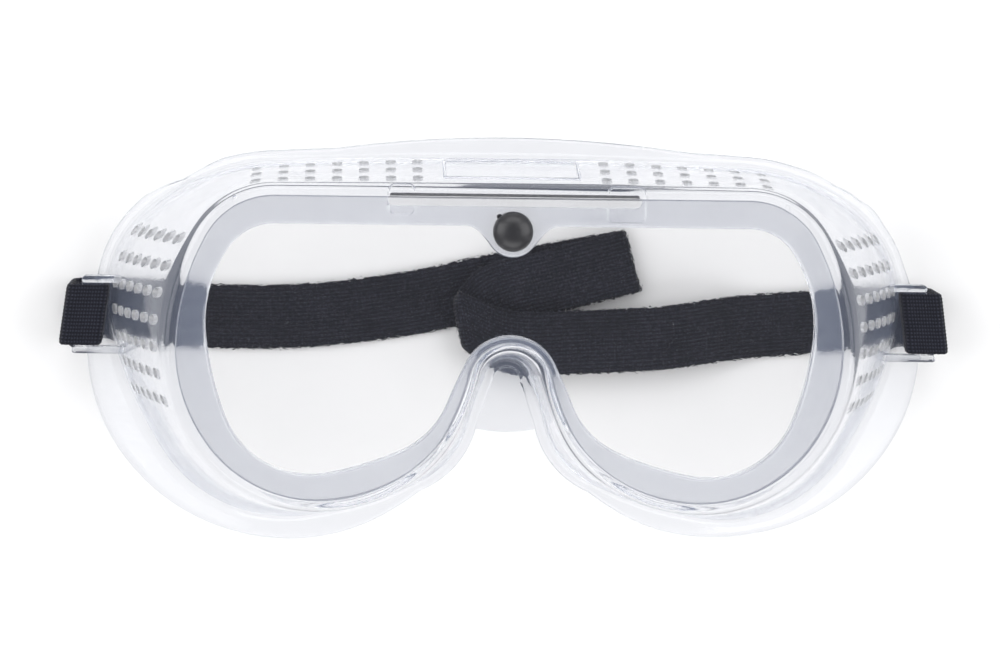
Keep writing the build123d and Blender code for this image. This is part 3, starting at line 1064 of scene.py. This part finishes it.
def clear_material(name, tint, ior, shade, haze, waviness, scuffs, milk):
    """Clear plastic: refracting, and open to lamps so that what it covers stays bright."""
    n = Nodes(name)
    where = n.place()
    shader = n.principled({"IOR": ior, "Transmission Weight": 1.0})
    cloud = n.noise(where, 60, 3.0, 0.6)
    low = tuple(c * 0.985 for c in tint)
    n.link(n.ramp(cloud, [(0.35, low), (0.65, tint)]), shader.inputs["Base Color"])
    rubbed = n.noise(n.stretched(where, (1.0, 2.2, 1.0)), 210, 4.0, 0.65)
    n.link(n.ramp(rubbed, [(0.3, grey(haze * 0.6)), (0.75, grey(haze * scuffs))]), shader.inputs["Roughness"])
    wavy = n.noise(n.stretched(where, (1.0, 1.0, 0.6)), 75, 1.0, 0.4)
    fine = n.noise(where, 1400, 2.0, 0.5)
    first = n.bump(wavy, waviness, 0.002)
    n.link(n.bump(fine, 0.06, 0.0002, first), shader.inputs["Normal"])
    seen = shader.outputs[0]
    if milk:
        cloudy = n.add("ShaderNodeBsdfDiffuse")
        cloudy.inputs["Color"].default_value = (0.50, 0.57, 0.76, 1)
        milky = n.add("ShaderNodeMixShader")
        milky.inputs[0].default_value = milk
        n.link(seen, milky.inputs[1])
        n.link(cloudy.outputs[0], milky.inputs[2])
        seen = milky.outputs[0]
    through = n.add("ShaderNodeBsdfTransparent")
    through.inputs["Color"].default_value = (*shade, 1)
    path = n.add("ShaderNodeLightPath")
    lamp = n.math("MAXIMUM", path.outputs["Is Shadow Ray"], path.outputs["Is Diffuse Ray"])
    both = n.add("ShaderNodeMixShader")
    n.link(lamp, both.inputs[0])
    n.link(seen, both.inputs[1])
    n.link(through.outputs[0], both.inputs[2])
    return n.finished(both.outputs[0])


def lens_edge_material():
    n = Nodes("cut_lens_edge")
    shader = n.principled({"IOR": 1.58, "Transmission Weight": 0.55})
    sawn = n.noise(n.stretched(n.place(), (1, 1, 9)), 900, 3.0, 0.6)
    n.link(n.ramp(sawn, [(0.3, (0.20, 0.205, 0.23)), (0.7, (0.42, 0.43, 0.47))]), shader.inputs["Base Color"])
    n.link(n.ramp(sawn, [(0.3, grey(0.35)), (0.7, grey(0.6))]), shader.inputs["Roughness"])
    n.link(n.bump(sawn, 0.4, 0.0002), shader.inputs["Normal"])
    return n.finished(shader.outputs[0])


def frosted_and_painted_shade_material(name, dark, light):
    """Frosted walls: the torn walls of a punched hole, and the slit's walls, whose dark colours are painted
    shade for the gap over the lens's top edge.
    """
    n = Nodes(name)
    shader = n.principled({"IOR": 1.48, "Transmission Weight": 0.5})
    torn = n.noise(n.place(), 1500, 3.0, 0.6)
    n.link(n.ramp(torn, [(0.3, dark), (0.7, light)]), shader.inputs["Base Color"])
    n.link(n.ramp(torn, [(0.3, grey(0.5)), (0.7, grey(0.75))]), shader.inputs["Roughness"])
    n.link(n.bump(torn, 0.3, 0.0001), shader.inputs["Normal"])
    return n.finished(shader.outputs[0])


def button_material():
    n = Nodes("black_button_plastic")
    where = n.place()
    shader = n.principled({"IOR": 1.5, "Coat Weight": 0.25, "Coat Roughness": 0.2})
    grain = n.noise(where, 2600, 3.0, 0.6)
    cloud = n.noise(where, 320, 3.0, 0.6)
    colour = n.ramp(cloud, [(0.3, (0.010, 0.010, 0.013)), (0.7, (0.019, 0.019, 0.023))])
    n.link(colour, shader.inputs["Base Color"])
    n.link(n.ramp(cloud, [(0.3, grey(0.34)), (0.7, grey(0.46))]), shader.inputs["Roughness"])
    n.link(n.bump(grain, 0.12, 0.0002), shader.inputs["Normal"])
    return n.finished(shader.outputs[0])


def elastic_material():
    """Ribbed knitted elastic: ribs along the strap, small slanted stitches on each, and stray lint; its
    colour is darker in the knit's hollows and lighter on its raised stitches, which is painted shade and
    painted highlight, with random wear on top.
    """
    n = Nodes("ribbed_elastic")
    uv = n.add("ShaderNodeUVMap")
    uv.uv_map = "along"
    split = n.add("ShaderNodeSeparateXYZ")
    n.link(uv.outputs["UV"], split.inputs[0])
    along, across = split.outputs[0], split.outputs[1]
    rib_turn = n.math("MULTIPLY", across, 2 * math.pi / (STRAP_W / RIBS))
    rib = n.math("MULTIPLY_ADD", n.math("COSINE", rib_turn), -0.5, 0.5)
    slant = n.math("ABSOLUTE", n.math("SINE", n.math("MULTIPLY", rib_turn, 0.5)))
    wander = n.noise(uv.outputs["UV"], 0.35, 2.0)
    stitch_turn = n.math("MULTIPLY", along, 2 * math.pi / STITCH_PITCH)
    stitch_turn = n.math("ADD", stitch_turn, n.math("MULTIPLY", slant, 2.6))
    stitch_turn = n.math("ADD", stitch_turn, n.math("MULTIPLY", wander, 3.0))
    stitch = n.math("MULTIPLY_ADD", n.math("SINE", stitch_turn), 0.5, 0.5)
    fuzz = n.noise(n.stretched(uv.outputs["UV"], (1.0, 1.6, 1.0)), 4.5, 4.0, 0.7)
    height = n.math("ADD", n.math("MULTIPLY", stitch, n.math("MULTIPLY_ADD", rib, 0.6, 0.4)),
                    n.math("MULTIPLY", fuzz, 0.7))
    height = n.math("ADD", height, n.math("MULTIPLY", rib, 0.5))
    wear = n.noise(uv.outputs["UV"], 0.09, 3.0, 0.6)
    # the colour follows the knit's height: painted shade in its hollows and painted highlight on its stitch
    # tops, plus random wear
    knit_shade_and_wear = n.math("ADD", n.math("MULTIPLY", height, 0.38), n.math("MULTIPLY", wear, 0.30))
    colour = n.ramp(knit_shade_and_wear, [(0.22, (0.0035, 0.004, 0.0075)), (0.55, (0.0125, 0.0138, 0.0230)),
                           (0.85, (0.038, 0.040, 0.058))])
    lint = n.noise(n.stretched(uv.outputs["UV"], (0.5, 1.0, 1.0)), 3.1, 1.0)
    lint = n.math("GREATER_THAN", lint, 0.805)
    blend = n.add("ShaderNodeMix", data_type="RGBA")
    n.link(lint, blend.inputs["Factor"])
    n.link(colour, blend.inputs[6])
    blend.inputs[7].default_value = (0.20, 0.20, 0.22, 1)
    shader = n.principled({"Roughness": 0.88, "Specular IOR Level": 0.25,
                           "Sheen Weight": 0.12, "Sheen Roughness": 0.4})
    n.link(blend.outputs[2], shader.inputs["Base Color"])
    n.link(n.bump(height, 0.75, 0.00022), shader.inputs["Normal"])
    return n.finished(shader.outputs[0])


def thread_material():
    n = Nodes("black_thread")
    where = n.place()
    shader = n.principled({"Roughness": 0.7, "Sheen Weight": 0.2})
    twist = n.add("ShaderNodeTexWave")
    twist.bands_direction = "DIAGONAL"
    twist.inputs["Scale"].default_value = 1800
    twist.inputs["Distortion"].default_value = 1.5
    n.link(where, twist.inputs["Vector"])
    n.link(n.ramp(twist.outputs["Fac"], [(0.2, (0.006, 0.006, 0.008)), (0.8, (0.03, 0.03, 0.035))]),
           shader.inputs["Base Color"])
    n.link(n.bump(twist.outputs["Fac"], 0.6, 0.0001), shader.inputs["Normal"])
    return n.finished(shader.outputs[0])


def floor_material():
    n = Nodes("white_bench")
    where = n.place()
    shader = n.principled({"Roughness": 0.9, "Specular IOR Level": 0.1})
    tooth = n.noise(where, 9, 3.0)
    colour = n.ramp(tooth, [(0.3, (0.90, 0.90, 0.905)), (0.7, (0.92, 0.92, 0.922))])
    n.link(colour, shader.inputs["Base Color"])
    return n.finished(shader.outputs[0])


# ---- studio
def area_light(name, place, size, power):
    data = bpy.data.lights.new(name, "AREA")
    data.shape = "RECTANGLE"
    data.size = size[0]
    data.size_y = size[1]
    data.energy = power
    lamp = bpy.data.objects.new(name, data)
    scene.collection.objects.link(lamp)
    lamp.location = place
    lamp.rotation_euler = Vector(place).to_track_quat("Z", "Y").to_euler()


def make_studio():
    world = bpy.data.worlds.new("studio")
    scene.world = world
    world.use_nodes = True
    tree = world.node_tree
    tree.nodes.clear()
    out = tree.nodes.new("ShaderNodeOutputWorld")
    sky = tree.nodes.new("ShaderNodeBackground")
    coords = tree.nodes.new("ShaderNodeTexCoord")
    split = tree.nodes.new("ShaderNodeSeparateXYZ")
    ramp = tree.nodes.new("ShaderNodeValToRGB")
    tree.links.new(coords.outputs["Generated"], split.inputs[0])
    tree.links.new(split.outputs[2], ramp.inputs["Fac"])
    tree.links.new(ramp.outputs["Color"], sky.inputs["Color"])
    tree.links.new(sky.outputs[0], out.inputs["Surface"])
    elements = ramp.color_ramp.elements
    stops = [(0.0, 0.68), (0.25, 0.78), (0.6, 0.8), (0.88, 0.45), (1.0, 0.17)]
    while len(elements) < len(stops):
        elements.new(0.5)
    for element, (place, value) in zip(elements, stops):
        element.position = place
        element.color = (value, value, value * 1.01, 1)
    sky.inputs["Strength"].default_value = 0.78
    area_light("softbox_left", (-0.95, 0.25, 0.85), (0.9, 1.2), 7.3)
    area_light("softbox_right", (0.95, 0.2, 0.85), (0.9, 1.2), 7.0)
    area_light("softbox_brow", (0.05, 1.0, 0.95), (1.3, 0.7), 5.4)
    area_light("softbox_cheek", (-0.1, -0.95, 0.8), (1.3, 0.7), 5.0)
    floor = bpy.data.meshes.new("bench")
    reach = 3.0
    steps = 12
    grid = [(reach * (2 * i / steps - 1), reach * (2 * j / steps - 1), 0.0)
            for j in range(steps + 1) for i in range(steps + 1)]
    row = steps + 1
    faces = [(j * row + i, j * row + i + 1, (j + 1) * row + i + 1, (j + 1) * row + i)
             for j in range(steps) for i in range(steps)]
    floor.from_pydata(grid, [], faces)
    floor.materials.append(floor_material())
    bench = bpy.data.objects.new("bench", floor)
    bench.location.z = -0.0002
    scene.collection.objects.link(bench)
    scene.view_settings.view_transform = "Standard"
    scene.cycles.max_bounces = 24
    scene.cycles.transmission_bounces = 20
    scene.cycles.transparent_max_bounces = 40
    scene.cycles.glossy_bounces = 6
    scene.cycles.diffuse_bounces = 4


# ---- making
make_camera()
make_studio()

pvc = clear_material("clear_soft_pvc", tint=(0.938, 0.934, 0.926), ior=1.48, shade=(0.948, 0.949, 0.952),
                     haze=0.07, waviness=0.022, scuffs=2.2, milk=0.075)
glass = clear_material("clear_polycarbonate", tint=(0.970, 0.969, 0.970), ior=1.50,
                       shade=(0.968, 0.969, 0.973), haze=0.015, waviness=0.01, scuffs=3.0, milk=0)
glass_edge = lens_edge_material()
button_plastic = button_material()
elastic = elastic_material()
thread = thread_material()

punched = frosted_and_painted_shade_material("punched_vent_edge", (0.40, 0.405, 0.42), (0.60, 0.605, 0.62))
# painted shade: the slit's walls are dark to stand for the shadow in the gap over the lens's top edge
painted_slit_shade = frosted_and_painted_shade_material("painted_shade_slit_edge", (0.05, 0.052, 0.06), (0.12, 0.122, 0.13))
moulding = make_moulding(pvc, punched, painted_slit_shade)
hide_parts("front_rim", "brow_wall", "left_temple_wall", "right_temple_wall", "left_cheek_wall",
            "right_cheek_wall", "nose_bridge", "nose_web", "brow_panel", "left_strap_lug", "right_strap_lug")
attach(moulding, "goggle_frame")

lens = make_lens(glass, glass_edge)
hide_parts("lens")
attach(lens, "goggle_frame")

button = make_button(button_plastic)
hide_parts("lens_button")
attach(button, "button")

washer = make_retainer(button_plastic)
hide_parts("button_retainer")
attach(washer, "goggle_frame")

elastic_left, elastic_right, left_length, right_length = make_straps(elastic)
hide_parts("headband_run", "left_headband_loop")
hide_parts("right_headband_loop")
for piece, side, length in ((elastic_left, -1, left_length), (elastic_right, 1, right_length)):
    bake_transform(piece)

for side, word in ((-1, "left"), (1, "right")):
    stitches = make_stitching(side, thread, f"{word}_stitches")
    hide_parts(f"{word}_loop_stitching")
    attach(stitches, "goggle_frame")
